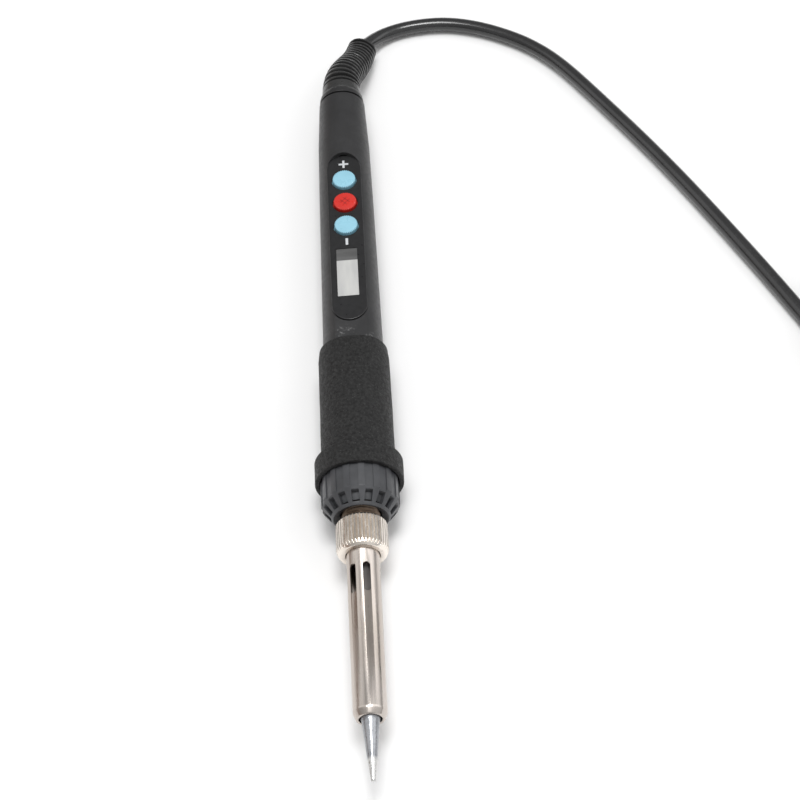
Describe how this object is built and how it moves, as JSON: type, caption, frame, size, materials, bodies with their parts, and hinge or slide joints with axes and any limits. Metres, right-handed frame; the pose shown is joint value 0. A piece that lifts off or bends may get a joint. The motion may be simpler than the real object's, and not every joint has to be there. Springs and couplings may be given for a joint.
{
  "type": "soldering iron",
  "caption": "Mains soldering iron with conical tip, slotted sleeve held by a knurled nut, foam grip, and display and buttons in its handle, with coiled cord and plug.",
  "frame": {"origin": "on the surface under the middle of the iron, between the tip's end and the start of the strain relief, below its axis", "axes": "+Y along the iron towards the cord, -Y towards the tip, +Z out of the control panel, +X to the right seen from the tip with the panel up"},
  "size_m": [0.2139, 0.2533, 0.0278],
  "materials": {
    "tip_steel": "dull plated steel, tinned at the point",
    "nickel": "polished nickel with heat tint and fine streaks",
    "heater_ceramic": "white fired ceramic",
    "neck_brass": "dull brass",
    "nose_plastic": "dark blue-grey moulded plastic",
    "liner_plastic": "paler grey moulded plastic",
    "grip_rubber": "black grainy foam rubber",
    "handle_plastic": "charcoal plastic, fine spark texture",
    "relief_rubber": "black moulded rubber",
    "panel_plastic": "black smooth plastic",
    "window_clear": "clear window",
    "display_grey": "silver-grey liquid crystal glass",
    "button_blue": "light blue plastic",
    "button_red": "red plastic",
    "component_black": "black epoxy",
    "board_green": "green solder mask",
    "screw_steel": "zinc plated",
    "capacitor_sleeve": "dark blue sleeve",
    "capacitor_box": "yellow box",
    "lead_insulation": "coloured insulation",
    "earth_insulation": "green and yellow insulation",
    "cord_rubber": "black glossy cord jacket",
    "clamp_plastic": "black plastic",
    "tie_plastic": "black strap",
    "plug_plastic": "black moulded plug",
    "pin_metal": "nickel plated pins"
  },
  "bodies": {
    "handle": {"heater_element": "heater_ceramic", "heater_socket": "neck_brass", "nose_collar": "nose_plastic", "nose_liner": "liner_plastic", "grip_sleeve": "grip_rubber", "handle_body": "handle_plastic", "rear_collar": "handle_plastic", "strain_relief": "relief_rubber", "control_panel": "panel_plastic", "lcd_window": "window_clear", "lcd_module": "display_grey", "tactile_switches": "component_black", "circuit_board": "board_green", "board_screws": "screw_steel", "control_chip": "component_black", "power_triac": "component_black", "smoothing_capacitor": "capacitor_sleeve", "safety_capacitor": "capacitor_box", "heater_leads": "lead_insulation", "earth_lead": "earth_insulation", "supply_cores": "lead_insulation", "cord_inner_end": "cord_rubber", "cord_clamp": "clamp_plastic", "clamp_screws": "screw_steel", "cord_lead": "cord_rubber", "cord_tail": "cord_rubber", "cord_coil": "cord_rubber", "coil_tie": "tie_plastic", "plug_body": "plug_plastic", "plug_pins": "pin_metal"},
    "barrel": {"soldering_tip": "tip_steel", "sleeve_tube": "nickel"},
    "nut": {"barrel_nut": "nickel"},
    "up_key": {"button_up": "button_blue"},
    "power_key": {"button_power": "button_red"},
    "down_key": {"button_down": "button_blue"}
  },
  "joints": [
    {"name": "barrel_release", "type": "slide", "parent": "handle", "child": "barrel", "axis": [0, -1, 0], "range_m": [0, 0.006]},
    {"name": "nut_turn", "type": "hinge", "parent": "barrel", "child": "nut", "pos_m": [0, -0.0424, 0.01145], "axis": [0, -1, 0], "range_deg": [0, 2165]},
    {"name": "up_press", "type": "slide", "parent": "handle", "child": "up_key", "axis": [0, -0.0148, -0.9999], "range_m": [0, 0.0004], "stiffness_N_per_m": 800},
    {"name": "power_press", "type": "slide", "parent": "handle", "child": "power_key", "axis": [0, -0.0148, -0.9999], "range_m": [0, 0.0004], "stiffness_N_per_m": 800},
    {"name": "down_press", "type": "slide", "parent": "handle", "child": "down_key", "axis": [0, -0.0148, -0.9999], "range_m": [0, 0.0004], "stiffness_N_per_m": 800}
  ],
  "couplings": [
    {"joint": "nut_turn", "follows": "barrel_release", "rad_per_m": 6283.2}
  ]
}
